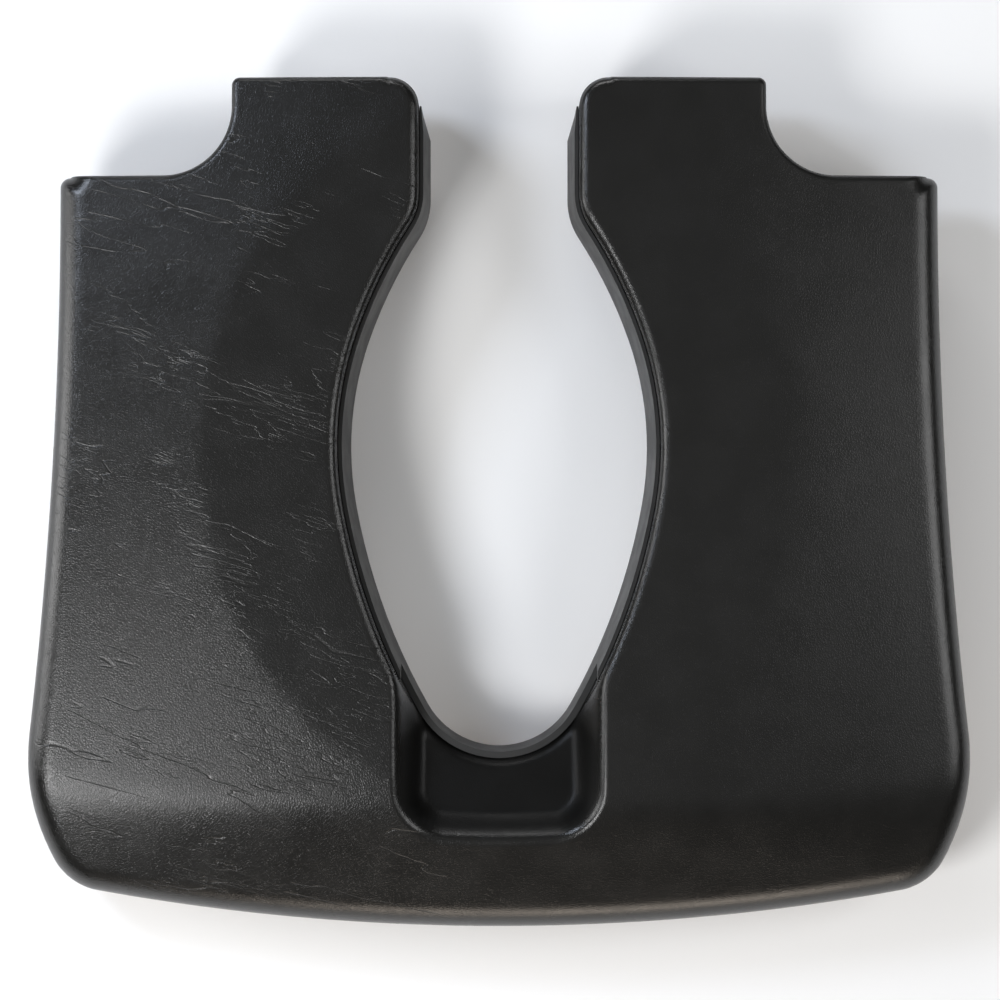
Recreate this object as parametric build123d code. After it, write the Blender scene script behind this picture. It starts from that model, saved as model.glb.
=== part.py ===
from build123d import *
import os
from math import ceil, cos, radians, sin

# Padded keyhole seat for a shower and commode chair.
#
# A grained skin over a foam core on a stiff board. The opening runs from the nose of the keyhole out
# through the rear edge, and a smooth liner stands in it. Two rear notches clear the posts of the chair,
# the front edge falls away in a waterfall, and a shallow scoop leads into the nose of the opening.
# Underneath, four snap clips hold the seat on the two side tubes of the chair.
#
# Frame: +Z up, -Y the front of the seat, origin at the middle of the bottom of the whole seat, to about
# a millimetre. The middle of the keyhole and of the notches is X = 0.
# All lengths are millimetres.

# Whole seat
SEAT_WIDTH = 480.0
FRONT_Y = -217.5
REAR_Y = 215.0
SIDE_REAR_X = 223.2  # half width at the rear
SIDE_REAR_Y = 148.8  # where the side stops being straight

# Snap clips for the chair's side tubes
TUBE_R = 12.5
TUBE_X = 170.0
CLIP_FRONT_Y = -115.0
CLIP_REAR_Y = 110.0
CLIP_LENGTH = 30.0
CLIP_FLANGE_HALF = 30.0
CLIP_FLANGE_THICK = 4.0
CLIP_FLANGE_R = 7.0
CLIP_WALL = 3.5
CLIP_MOUTH_DEG = 52.0  # half the angle that the clip leaves open below the tube
CLIP_LIP_R = 2.6
CLIP_HOLE_X = 22.5
CLIP_RING_LENGTH = 26.0
CLIP_PLACES = {
    "front_left": (-TUBE_X, CLIP_FRONT_Y),
    "front_right": (TUBE_X, CLIP_FRONT_Y),
    "rear_left": (-TUBE_X, CLIP_REAR_Y),
    "rear_right": (TUBE_X, CLIP_REAR_Y),
}

# Heights, from the lips of the clips
TUBE_Z = CLIP_LIP_R + (TUBE_R + CLIP_LIP_R) * cos(radians(CLIP_MOUTH_DEG))
BOARD_Z = TUBE_Z + TUBE_R + CLIP_FLANGE_THICK
BOARD_THICK = 12.0
PAD_THICK = 33.0
SKIN_THICK = 2.0
HEM_WIDTH = 12.0
BOARD_TOP_Z = BOARD_Z + BOARD_THICK
PAD_TOP_Z = BOARD_TOP_Z + PAD_THICK
HEM_Z = BOARD_Z - SKIN_THICK

# Right half of the opening at the foot of the liner, from the nose to the neck, as arcs that run on
# from each other: radius and angle turned, positive to the left
NOSE_Y = -125.5
KEYHOLE_TURNS = [(42.3, 60.5), (327.0, 19.3), (168.6, 29.6), (247.7, 13.6), (35.8, -33.0)]

# Right half of the outer edge in the same way, from the rear of the side to the front corner. One more
# arc closes the front to the middle.
OUTER_TURNS = [(2205.0, 6.9), (121.0, -32.5), (29.3, -54.2)]

# Corners of the pad and the notch that clears a rear post
NOTCH_X = 134.8
NOTCH_Y = 165.6
NOTCH_R = 35.0
PRONG_INNER_R = 15.0
PRONG_OUTER_R = 4.0
REAR_CORNER_R = 5.5
REAR_CORNER_DEG = 75.0  # the corner's arc runs out through the side, a little short of square
LEAST_R = 0.3
CLEAR = 30.0  # how far a cutting solid stands past what it cuts

# Shape of the pad top
LINER_GAP = 5.0  # from the foot of the liner out to the wall of the pad
WATERFALL_Y = -130.0
WATERFALL = [(-147, 2.2), (-176, 10.3), (-200, 17.5), (-213, 23.0), (FRONT_Y - 5, 29.0)]
SCOOP_HALF = 50.0
SCOOP_FRONT_Y = -166.0
SCOOP_CORNER_R = 24.0
SCOOP_REAR_Y = -70.5  # where the scoop's sides end, inside the opening
SCOOP_FRONT_DEPTH = 16.0
SCOOP_NOSE_DEPTH = 26.0
SCOOP_REAR_DEPTH = 27.0
SIDE_ROLL = 12.0
RIM_ROLL = 3.5

# Liner that stands in the opening
LINER_FLANGE_THICK = 2.5
LINER_Z = HEM_Z - LINER_FLANGE_THICK
LINER_TOP_Z = PAD_TOP_Z - 11.0
LINER_SCOOP_Z = PAD_TOP_Z - 28.0  # its top where it passes below the scoop
LINER_LOW_REAR_Y = -81.0  # where that low stretch ends, towards the rear
LINER_DRAFT = 2.8
LINER_FLANGE_WIDTH = 19.0
LINER_SKIN_GAP = 0.3
LINER_REAR_Y = 201.0
LINER_TAPER_Y = 188.0  # from here the wall thins out towards its rear end
LINER_END_THICK = 0.9
LINER_FOOT_REAR_Y = 198.0
LINER_LAST_SCREW_Y = 183.0
LINER_SCREW_OFFSET = 12.0
LINER_SCREW_FRACTIONS = [0.16, 0.33, 0.50, 0.67, 0.84]

# Fasteners and small parts
SCREW_R = 2.45
SCREW_HOLE_R = 2.75
SCREW_TIP_Z = BOARD_TOP_Z - 1.0
SCREW_HEAD_R = 4.7
SCREW_HEAD_THICK = 2.8
SCREW_HEAD_ROUND = 1.4
SCREW_HEX_R = 1.7
SCREW_HEX_DEPTH = 1.68
WASHER_R = 5.4
WASHER_THICK = 1.0
NUT_BORE_R = 2.5
NUT_BARREL_R = 3.4
NUT_BARREL_LENGTH = 8.0
NUT_FLANGE_R = 8.5
NUT_FLANGE_THICK = 1.3
SMALL_SCREW_R = 1.6
SMALL_SCREW_LENGTH = 12.0
SMALL_HEAD_R = 3.3
SMALL_HEAD_THICK = 1.8
SMALL_HEAD_ROUND = 0.9
SMALL_SLOT_WIDTH = 0.8
SMALL_SLOT_LENGTH = 3.6
SMALL_SLOT_DEPTH = 0.8
BUFFER_R = 10.0
BUFFER_THICK = 6.0
BUFFER_RECESS_R = 4.2
BUFFER_RECESS = 3.0
BUFFER_EDGE = 1.0
BUFFER_PLACES = [(-88, 183), (88, 183), (-88, -168), (88, -168)]
EYELET_PLACES = [(-118, 62), (118, 62), (-112, -58), (112, -58)]
EYELET_R = 4.0
EYELET_BORE_R = 2.6
EYELET_FLANGE_R = 7.0
EYELET_FLANGE_THICK = 1.0
EYELET_FLANGE_ROUND = 0.6
STAPLE_CROWN = 10.0
STAPLE_WIRE = 1.1
STAPLE_THICK = 0.6
STAPLE_LEG = 8.0
STAPLE_PITCH = 27.0
STAPLE_INSET = 7.0
STAPLE_EDGE_SPAN = 75.0  # length of the rear edge that takes staples, on each prong


def mirrored_face(edges):
    """The face between edges on the right half and their mirror image."""
    return make_face(edges + [e.mirror(Plane.YZ) for e in edges])


def arc_run(x, y, heading, turns, shift):
    """Arcs that run on from each other, starting at (x, y) and moved to their left by shift. Gives the
    arcs, and where the unmoved run ends."""
    arcs = []
    for radius, turn in turns:
        side = 1 if turn > 0 else -1
        centre_x = x - side * radius * sin(radians(heading))
        centre_y = y + side * radius * cos(radians(heading))
        arcs.append(
            CenterArc((centre_x, centre_y), radius - side * shift, heading - side * 90, turn)
        )
        heading += turn
        x = centre_x + side * radius * sin(radians(heading))
        y = centre_y - side * radius * cos(radians(heading))
    return arcs, x, y


def keyhole_run(offset):
    """Right half of the opening's edge, moved into the pad by offset."""
    return arc_run(0, NOSE_Y, 0, KEYHOLE_TURNS, -offset)[0]


def outer_run(inset):
    """Right half of the outer edge, moved into the pad by inset."""
    start_x = SIDE_REAR_X
    end_x = arc_run(start_x, SIDE_REAR_Y, 270, OUTER_TURNS, 0)[1]
    turned = sum(turn for _, turn in OUTER_TURNS)
    left = 90 + turned
    last = (end_x / sin(radians(left)), -left)
    return arc_run(start_x, SIDE_REAR_Y, 270, [*OUTER_TURNS, last], -inset)[0]


NECK_HALF, NECK_Y = arc_run(0, NOSE_Y, 0, KEYHOLE_TURNS, 0)[1:]


def corner(x, y, radius, start):
    """A quarter turn clockwise about (x, y), from the start angle."""
    return CenterArc((x, y), radius, start, -90)


def outer_plan(inset):
    """The sides and front of the pad seen from above, moved inwards by inset and left long at the
    rear."""
    side_x = SIDE_REAR_X - inset
    edges = [
        Line((0, 2 * REAR_Y), (side_x, 2 * REAR_Y)),
        Line((side_x, 2 * REAR_Y), (side_x, SIDE_REAR_Y)),
        *outer_run(inset),
    ]
    return mirrored_face(edges)


def rim_plan(inset):
    """The opening, the rear edge and the notches seen from above, moved inwards by inset and left wide
    at the sides and front."""
    neck_x = NECK_HALF + LINER_GAP + inset
    rear = REAR_Y - inset
    notch_x = NOTCH_X - inset
    notch_y = NOTCH_Y - inset
    inner_r = PRONG_INNER_R - min(inset, PRONG_INNER_R - LEAST_R)
    outer_r = max(PRONG_OUTER_R - inset, LEAST_R)
    rear_r = max(REAR_CORNER_R - inset, LEAST_R)
    post_x = NOTCH_X + NOTCH_R
    post_y = NOTCH_Y + NOTCH_R
    rear_x = SIDE_REAR_X - inset - rear_r
    away = radians(90 - REAR_CORNER_DEG)
    corner_end = (rear_x + rear_r * cos(away), notch_y - rear_r + rear_r * sin(away))
    clear = (corner_end[0] + 100 * sin(away), corner_end[1] - 100 * cos(away))
    edges = [
        *keyhole_run(LINER_GAP + inset),
        Line((neck_x, NECK_Y), (neck_x, rear - inner_r)),
        corner(neck_x + inner_r, rear - inner_r, inner_r, 180),
        Line((neck_x + inner_r, rear), (notch_x - outer_r, rear)),
        corner(notch_x - outer_r, rear - outer_r, outer_r, 90),
        Line((notch_x, rear - outer_r), (notch_x, post_y)),
        CenterArc((post_x, post_y), NOTCH_R + inset, 180, 90),
        Line((post_x, notch_y), (rear_x, notch_y)),
        CenterArc((rear_x, notch_y - rear_r), rear_r, 90, -REAR_CORNER_DEG),
        Line(corner_end, clear),
        Line(clear, (2 * SIDE_REAR_X, clear[1])),
        Line((2 * SIDE_REAR_X, clear[1]), (2 * SIDE_REAR_X, 2 * FRONT_Y)),
        Line((2 * SIDE_REAR_X, 2 * FRONT_Y), (0, 2 * FRONT_Y)),
    ]
    return mirrored_face(edges)


def pad_slab(inset, low, high):
    """The pad's outline moved inwards by inset and made solid between two heights."""
    return raised(outer_plan(inset), low, high) & raised(rim_plan(inset), low, high)


def opening_plan(offset):
    """The free space inside the liner seen from above: the keyhole moved into the pad by offset. It
    widens towards the rear, where the liner's ends thin out."""
    neck_x = NECK_HALF + offset
    end_x = NECK_HALF + LINER_GAP - LINER_SKIN_GAP - LINER_END_THICK
    edges = [
        *keyhole_run(offset),
        Line((neck_x, NECK_Y), (neck_x, LINER_TAPER_Y)),
        Line((neck_x, LINER_TAPER_Y), (end_x, LINER_REAR_Y)),
        Line((end_x, LINER_REAR_Y), (end_x, REAR_Y)),
        Line((end_x, REAR_Y), (0, REAR_Y)),
    ]
    return mirrored_face(edges)


def keyhole_plan(offset, rear_y):
    """The keyhole moved into the pad by offset, closed by a straight line at rear_y."""
    neck_x = NECK_HALF + offset
    edges = [
        *keyhole_run(offset),
        Line((neck_x, NECK_Y), (neck_x, rear_y)),
        Line((neck_x, rear_y), (0, rear_y)),
    ]
    return mirrored_face(edges)


def raised(plan, low, high):
    """A plan made solid between two heights."""
    return extrude(Pos(0, 0, low) * plan, high - low)


def waterfall_cut(inset):
    """Everything above the falling front edge, lowered by inset."""
    start = (WATERFALL_Y, PAD_TOP_Z - inset)
    fall = [(y, PAD_TOP_Z - inset - drop) for y, drop in WATERFALL]
    above = PAD_TOP_Z + CLEAR
    profile = make_face(
        [
            Spline([start, *fall], tangents=[(-1, 0), (-0.5, -1)]),
            Line(fall[-1], (FRONT_Y - CLEAR, fall[-1][1])),
            Line((FRONT_Y - CLEAR, fall[-1][1]), (FRONT_Y - CLEAR, above)),
            Line((FRONT_Y - CLEAR, above), (WATERFALL_Y, above)),
            Line((WATERFALL_Y, above), start),
        ]
    )
    return extrude(Plane.YZ * profile, SEAT_WIDTH, both=True)


def scoop_cut(inset):
    """The shallow recess between the front edge and the nose of the opening."""
    half = SCOOP_HALF + inset
    front_y = SCOOP_FRONT_Y - inset
    corner_r = SCOOP_CORNER_R + inset
    length = SCOOP_REAR_Y - front_y
    plan = Pos(0, SCOOP_REAR_Y) * RectangleRounded(2 * half, 2 * length, corner_r)
    column = raised(plan, BOARD_TOP_Z, PAD_TOP_Z + CLEAR)
    floor = make_face(
        Polyline(
            (front_y - 1, PAD_TOP_Z - inset - SCOOP_FRONT_DEPTH),
            (NOSE_Y, PAD_TOP_Z - inset - SCOOP_NOSE_DEPTH),
            (SCOOP_REAR_Y + CLEAR, PAD_TOP_Z - inset - SCOOP_REAR_DEPTH),
            (SCOOP_REAR_Y + CLEAR, PAD_TOP_Z + CLEAR),
            (front_y - 1, PAD_TOP_Z + CLEAR),
            close=True,
        )
    )
    return column & extrude(Plane.YZ * floor, SEAT_WIDTH / 2, both=True)


def rolled(block, radius, wanted):
    """A block with its upper edges rounded, where wanted says yes to the middle of an edge."""
    upper = [e for e in block.edges() if e.bounding_box().min.Z > BOARD_TOP_Z - 1]
    return fillet([e for e in upper if wanted(e.center())], radius)


def pad_block(inset, low):
    """The pad as one block, moved inwards by inset all round and down from its top by the same."""
    top = PAD_TOP_Z - inset
    sides = raised(outer_plan(inset), HEM_Z, top) - waterfall_cut(inset)
    sides = rolled(sides, SIDE_ROLL - inset, lambda c: abs(c.X) > 200 or c.Y < -200)
    rim = raised(rim_plan(inset), low, top)
    rim = rolled(rim, RIM_ROLL - inset, lambda c: abs(c.X) < SIDE_REAR_X and c.Y > 1.5 * FRONT_Y)
    return (sides & rim) - scoop_cut(inset)


def cylinder(x, y, low, high, radius):
    """An upright cylinder between two heights."""
    return Pos(x, y, (low + high) / 2) * Cylinder(radius, high - low)


def clip_screw_places():
    """Where the clips' screws stand, two to a clip."""
    return [(x + side * CLIP_HOLE_X, y) for x, y in CLIP_PLACES.values() for side in (-1, 1)]


def liner_screw_places():
    """Where the liner's screws stand: one at the nose and the rest spaced along both sides."""
    side = Wire(keyhole_run(LINER_SCREW_OFFSET))
    points = [side.position_at(fraction) for fraction in LINER_SCREW_FRACTIONS]
    neck_x = NECK_HALF + LINER_SCREW_OFFSET
    right = [(p.X, p.Y) for p in points] + [(neck_x, LINER_LAST_SCREW_Y)]
    nose = (0, NOSE_Y - LINER_SCREW_OFFSET)
    return [nose] + right + [(-x, y) for x, y in right]


def seat_skin():
    """The grained skin: the whole outside of the pad, turned under the board in a hem."""
    skin = pad_block(0, HEM_Z)
    skin -= pad_block(SKIN_THICK, BOARD_Z)
    skin -= pad_slab(HEM_WIDTH + SKIN_THICK, HEM_Z, BOARD_Z)
    for x, y in liner_screw_places():
        skin -= cylinder(x, y, HEM_Z, BOARD_Z, SMALL_SCREW_R)
    skin -= hem_staples()
    return skin


def foam_core():
    """The foam between the skin and the board."""
    return pad_block(SKIN_THICK, BOARD_TOP_Z)


def base_board():
    """The stiff board, with its holes for screws, nuts and eyelets."""
    board = pad_slab(SKIN_THICK, BOARD_Z, BOARD_TOP_Z)
    for x, y in clip_screw_places():
        board -= cylinder(x, y, BOARD_Z, BOARD_TOP_Z, NUT_BARREL_R)
        board -= cylinder(x, y, BOARD_TOP_Z - NUT_FLANGE_THICK, BOARD_TOP_Z, NUT_FLANGE_R)
    for x, y in liner_screw_places():
        board -= cylinder(x, y, BOARD_Z, liner_screw_tip(), SMALL_SCREW_R)
    for x, y in BUFFER_PLACES:
        board -= cylinder(x, y, BOARD_Z, buffer_screw_tip(), SMALL_SCREW_R)
    for x, y in EYELET_PLACES:
        board -= cylinder(x, y, BOARD_Z, BOARD_TOP_Z, EYELET_R)
    board -= hem_staples()
    return board


def aperture_liner():
    """The smooth wall inside the opening. It leans outwards as it rises, thins out at the prong tips,
    and has a foot flange that screws up under the board."""
    outer = LINER_GAP - LINER_SKIN_GAP
    wall = raised(keyhole_plan(outer, LINER_REAR_Y), LINER_Z, LINER_TOP_Z)
    low = Pos(0, 0, LINER_Z) * opening_plan(0)
    high = Pos(0, 0, LINER_TOP_Z) * opening_plan(LINER_DRAFT)
    free = loft([low, high], ruled=True)
    liner = wall - free
    scoop = Pos(0, LINER_LOW_REAR_Y - SCOOP_HALF) * Rectangle(2 * SCOOP_HALF, 2 * SCOOP_HALF)
    liner -= raised(scoop, LINER_SCOOP_Z, PAD_TOP_Z)
    foot = raised(keyhole_plan(LINER_FLANGE_WIDTH, LINER_FOOT_REAR_Y), LINER_Z, HEM_Z)
    foot -= raised(keyhole_plan(outer - 1, REAR_Y), LINER_Z, HEM_Z)
    liner += foot
    for x, y in liner_screw_places():
        liner -= cylinder(x, y, LINER_Z, HEM_Z, SMALL_SCREW_R)
    return liner


def tube_clip(x, y):
    """A snap clip: a flange that screws to the board and a ring, open below, that grips the tube."""
    outer_r = TUBE_R + CLIP_WALL
    flange = Pos(x, y) * RectangleRounded(2 * CLIP_FLANGE_HALF, CLIP_LENGTH, CLIP_FLANGE_R)
    clip = raised(flange, BOARD_Z - CLIP_FLANGE_THICK, BOARD_Z)
    section = Circle(outer_r)
    section += Pos(0, outer_r / 2) * Rectangle(2 * outer_r, outer_r)
    section &= Pos(0, (TUBE_R - 2 * outer_r) / 2 + 0.1) * Rectangle(
        4 * outer_r, TUBE_R + 2 * outer_r
    )
    section -= Circle(TUBE_R)
    reach = 3 * outer_r
    mouth = radians(CLIP_MOUTH_DEG)
    section -= make_face(
        Polyline(
            (0, 0),
            (-reach * sin(mouth), -reach * cos(mouth)),
            (0, -2 * reach),
            (reach * sin(mouth), -reach * cos(mouth)),
            close=True,
        )
    )
    lip_reach = TUBE_R + CLIP_LIP_R
    for side in (-1, 1):
        lip = Pos(side * lip_reach * sin(mouth), -lip_reach * cos(mouth)) * Circle(CLIP_LIP_R)
        section += lip
    section -= Circle(TUBE_R)
    upright = Plane(origin=(x, y, TUBE_Z), x_dir=(1, 0, 0), z_dir=(0, -1, 0))
    clip += extrude(upright * section, CLIP_RING_LENGTH / 2, both=True)
    clip -= Pos(x, y, TUBE_Z) * Rot(90, 0, 0) * Cylinder(TUBE_R, 2 * CLIP_LENGTH)
    for side in (-1, 1):
        clip -= cylinder(
            x + side * CLIP_HOLE_X, y, BOARD_Z - CLIP_FLANGE_THICK, BOARD_Z, SCREW_HOLE_R
        )
    return clip


def clip_screw(x, y):
    """A pan head screw with a hex recess, driven up through a clip."""
    seat = BOARD_Z - CLIP_FLANGE_THICK - WASHER_THICK
    head = cylinder(x, y, seat - SCREW_HEAD_THICK, seat, SCREW_HEAD_R)
    head = fillet(head.edges().group_by(Axis.Z)[0], SCREW_HEAD_ROUND)
    shank = cylinder(x, y, seat, SCREW_TIP_Z, SCREW_R)
    recess = extrude(
        Pos(x, y, seat - SCREW_HEAD_THICK) * RegularPolygon(SCREW_HEX_R, 6), SCREW_HEX_DEPTH
    )
    return head + shank - recess


def clip_washer(x, y):
    """A plain washer under a clip screw's head."""
    high = BOARD_Z - CLIP_FLANGE_THICK
    ring = cylinder(x, y, high - WASHER_THICK, high, WASHER_R)
    return ring - cylinder(x, y, high - WASHER_THICK, high, SCREW_HOLE_R)


def tee_nut(x, y):
    """A flanged nut let into the top of the board."""
    nut = cylinder(x, y, BOARD_TOP_Z - NUT_BARREL_LENGTH, BOARD_TOP_Z, NUT_BARREL_R)
    nut += cylinder(x, y, BOARD_TOP_Z - NUT_FLANGE_THICK, BOARD_TOP_Z, NUT_FLANGE_R)
    return nut - cylinder(x, y, BOARD_Z, BOARD_TOP_Z, NUT_BORE_R)


def small_screw(x, y, seat):
    """A small pan head wood screw whose head bears at the height seat."""
    head = cylinder(x, y, seat - SMALL_HEAD_THICK, seat, SMALL_HEAD_R)
    head = fillet(head.edges().group_by(Axis.Z)[0], SMALL_HEAD_ROUND)
    shank = cylinder(x, y, seat, seat + SMALL_SCREW_LENGTH, SMALL_SCREW_R)
    slots = Box(SMALL_SLOT_WIDTH, SMALL_SLOT_LENGTH, 2 * SMALL_SLOT_DEPTH)
    slots += Box(SMALL_SLOT_LENGTH, SMALL_SLOT_WIDTH, 2 * SMALL_SLOT_DEPTH)
    return head + shank - Pos(x, y, seat - SMALL_HEAD_THICK) * slots


def liner_screw_tip():
    """The height that the liner's screws reach."""
    return LINER_Z + SMALL_SCREW_LENGTH


def buffer_screw_seat():
    """The height of the shoulder inside a buffer."""
    return BOARD_Z - BUFFER_THICK + BUFFER_RECESS


def buffer_screw_tip():
    """The height that the buffers' screws reach."""
    return buffer_screw_seat() + SMALL_SCREW_LENGTH


def rubber_buffer(x, y):
    """A round buffer that rests on a cross tube of the chair."""
    low = BOARD_Z - BUFFER_THICK
    body = cylinder(x, y, low, BOARD_Z, BUFFER_R)
    body = chamfer(body.edges().group_by(Axis.Z)[0], BUFFER_EDGE)
    body -= cylinder(x, y, low, low + BUFFER_RECESS, BUFFER_RECESS_R)
    return body - cylinder(x, y, low, BOARD_Z, SMALL_SCREW_R)


def vent_eyelet(x, y):
    """An eyelet that lets the air out when the foam is sat on."""
    low = BOARD_Z - EYELET_FLANGE_THICK
    body = cylinder(x, y, low, BOARD_TOP_Z - 1, EYELET_R)
    flange = cylinder(x, y, low, BOARD_Z, EYELET_FLANGE_R)
    flange = fillet(flange.edges().group_by(Axis.Z)[0], EYELET_FLANGE_ROUND)
    return body + flange - cylinder(x, y, low, BOARD_TOP_Z, EYELET_BORE_R)


def staple(x, y, angle):
    """A staple through the hem, its crown along angle."""
    crown = Pos(0, 0, HEM_Z - STAPLE_THICK / 2) * Box(STAPLE_CROWN, STAPLE_WIRE, STAPLE_THICK)
    body = crown
    for side in (-1, 1):
        leg = Box(STAPLE_THICK, STAPLE_WIRE, STAPLE_LEG)
        body += Pos(side * (STAPLE_CROWN - STAPLE_THICK) / 2, 0, HEM_Z + STAPLE_LEG / 2) * leg
    return Pos(x, y) * Rot(0, 0, angle) * body


def hem_staples():
    """Staples along the hem: round the sides and front, and across each prong."""
    edge = Wire(outer_run(STAPLE_INSET))
    count = ceil(edge.length / STAPLE_PITCH)
    half = []
    for k in range(count):
        fraction = (k + 0.5) / count
        point = edge.position_at(fraction)
        along = edge.tangent_at(fraction)
        half.append(staple(point.X, point.Y, Vector(1, 0, 0).get_signed_angle(along)))
    across = ceil(STAPLE_EDGE_SPAN / STAPLE_PITCH)
    first = NOTCH_X - STAPLE_INSET - STAPLE_CROWN
    for k in range(across):
        half.append(staple(first - k * STAPLE_PITCH, REAR_Y - STAPLE_INSET, 0))
    return half + [s.mirror(Plane.YZ) for s in half]


def write(name, solids):
    """One STEP file for one node."""
    shape = solids if not isinstance(solids, list) else Compound(children=solids)
    export_step(shape, f"parts/{name}.step")


def main():
    os.makedirs("parts", exist_ok=True)
    write("seat_skin", seat_skin())
    write("foam_core", foam_core())
    write("base_board", base_board())
    write("aperture_liner", aperture_liner())
    for place, (x, y) in CLIP_PLACES.items():
        write(f"tube_clip_{place}", tube_clip(x, y))
    write("clip_screws", [clip_screw(x, y) for x, y in clip_screw_places()])
    write("clip_washers", [clip_washer(x, y) for x, y in clip_screw_places()])
    write("tee_nuts", [tee_nut(x, y) for x, y in clip_screw_places()])
    write("liner_screws", [small_screw(x, y, LINER_Z) for x, y in liner_screw_places()])
    write("rubber_buffers", [rubber_buffer(x, y) for x, y in BUFFER_PLACES])
    write("buffer_screws", [small_screw(x, y, buffer_screw_seat()) for x, y in BUFFER_PLACES])
    write("vent_eyelets", [vent_eyelet(x, y) for x, y in EYELET_PLACES])
    write("hem_staples", hem_staples())


main()
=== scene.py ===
import math

import bpy
import numpy as np
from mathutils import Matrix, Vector, geometry


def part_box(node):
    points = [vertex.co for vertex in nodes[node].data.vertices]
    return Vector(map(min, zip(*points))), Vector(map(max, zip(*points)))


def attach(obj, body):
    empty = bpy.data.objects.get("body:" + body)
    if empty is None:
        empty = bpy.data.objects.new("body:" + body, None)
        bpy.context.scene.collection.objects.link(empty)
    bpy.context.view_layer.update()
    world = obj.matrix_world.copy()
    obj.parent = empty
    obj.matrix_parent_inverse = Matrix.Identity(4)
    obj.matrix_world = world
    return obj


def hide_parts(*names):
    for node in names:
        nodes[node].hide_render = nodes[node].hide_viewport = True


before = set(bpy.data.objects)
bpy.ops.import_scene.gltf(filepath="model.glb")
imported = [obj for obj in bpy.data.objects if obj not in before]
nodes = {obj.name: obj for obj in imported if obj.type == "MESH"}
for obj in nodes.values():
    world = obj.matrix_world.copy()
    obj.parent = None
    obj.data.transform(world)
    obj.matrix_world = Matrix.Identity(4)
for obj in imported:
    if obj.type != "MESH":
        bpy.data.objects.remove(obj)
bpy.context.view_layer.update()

MM = 0.001

# ---------------------------------------------------------------- dimensions, in mm, as the CAD has them
skin_low, skin_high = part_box("seat_skin")
board_low, board_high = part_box("base_board")
TOP = skin_high[2] / MM
HEM_Z = skin_low[2] / MM
BOARD_Z = board_low[2] / MM
BOARD_TOP = board_high[2] / MM
FRONT_Y = skin_low[1] / MM

NOSE_Y = -125.5  # front end of the opening inside its liner
# radius, and turn in degrees, of each arc: from the nose to the neck, and from the side round to the front
KEYHOLE_TURNS = [(42.3, 60.5), (327.0, 19.3), (168.6, 29.6), (247.7, 13.6), (35.8, -33.0)]
OUTER_TURNS = [(2205.0, 6.9), (121.0, -32.5), (29.3, -54.2)]
SIDE_X, SIDE_Y = 223.2, 148.8
LINER_GAP = 5.0  # from the opening to the pad's own edge, which the liner fills
REAR_Y = 215.0
NOTCH_X, NOTCH_Y, NOTCH_R = 134.8, 165.6, 35.0  # the post notch: its straight edges and its round corner
PRONG_INNER_R, PRONG_OUTER_R, REAR_CORNER_R, LEAST_R = 15.0, 4.0, 5.5, 0.3
FRONT_ARC_R = 1180.0  # the long bow of the front edge

# ---------------------------------------------------------------- the pad's top, in mm
DISH_Y, DISH_A, DISH_B, DISH_MEAN = 26.0, 150.0, 175.0, 158.0
CREASE_LEFT, CREASE_RIGHT = 1.8, 6.5  # how softly the dish's crease turns on each side
CREASE_FROM, CREASE_TO = -40.0, 60.0  # the X between which one becomes the other
CROWN_OUT, CROWN_IN = 0.075, 0.022  # slopes outside and inside the crease
FALL_WIDTH, FALL_SLOPE, FALL_ROUND = 66.0, 0.385, 4.5  # the falling front edge
SIDE_ROLL, RIM_ROLL, REAR_ROLL = 13.0, 5.0, 3.0
SCOOP_HALF, SCOOP_FRONT, SCOOP_CORNER = 51.0, -170.0, 23.0
SCOOP_BOW = 3.0  # how far the scoop's front bows forwards
SCOOP_REAR = -60.0  # the scoop's sides end inside the opening, before this
SCOOP_DEPTH, SCOOP_NOSE_DEPTH, SCOOP_TURN = 16.0, 26.0, 5.0
SCOOP_LEAST = 0.5  # depth of the scoop where the pad has fallen to its floor
SCOOP_ROLL, SCOOP_WALL, SCOOP_COVE = 3.6, 8.0, 6.5  # widths of the rim's outside, the wall and the foot
SCOOP_RIM_END, SCOOP_COVE_START = 0.34, 0.56  # shares of that width where the steep wall starts and ends
SKIN_THICK, SKIN_SIDE, HEM_WIDTH, FOOT_ROUND = 1.2, 1.95, 14.0, 1.6
GAP = 0.05  # between one piece and the next
FAR_OUT = -99.0  # well outside the scoop

OUTER_CREST, OUTER_SPREAD = 6.0, 5.0  # where the outer edge is rubbed, in from its wall, and how widely
RIM_CREST, SCOOP_SPREAD = 2.5, 2.0  # the same for the opening's rim, and how widely for the scoop's

# ---------------------------------------------------------------- spacing of the points, in mm
SKIN_STEP, HEM_STEP = 1.35, 3.0  # along the skin's edge and along hidden edges
CORNER_STEP = 0.8  # at most, round the sharpest corners
EDGE_RINGS = (0.12, 0.4, 0.85, 1.4, 2.1, 3.0, 4.0, 5.2, 6.6, 8.3, 10.3, 12.6)  # insets that follow the edge
CREASE_RINGS = (-6, -3.5, -1.8, -0.6, 0.6, 1.8, 3.5, 6)  # distances from the dish's crease
CREASE_POINTS = 640
SCOOP_RINGS = np.arange(-7, 15, 0.9)  # distances inside the scoop's rim, past its roll and its foot
SCOOP_CLEAR, CREASE_CLEAR = 5.6, 13.4  # least distance of such points from the pad's edge
SCOOP_SPACE, CREASE_SPACE, GRID_SPACE = 0.62, 1.1, 1.7  # and from the points before them
FOOT_ANGLES = (90, 60, 30, 0)  # round the bottom of the side, from below
WALL_SHARES = (0.35, 0.7, 0.92)  # heights up the side
CELL = 3.0  # side of the squares that near points are looked up in, larger than any least distance
CHUNK = 4000  # points that are measured at a time, to save memory
GRID_STEP, GRID_X, GRID_Y = 2.5, 245.0, 230.0  # the open field's grid and its reach from the middle

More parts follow.
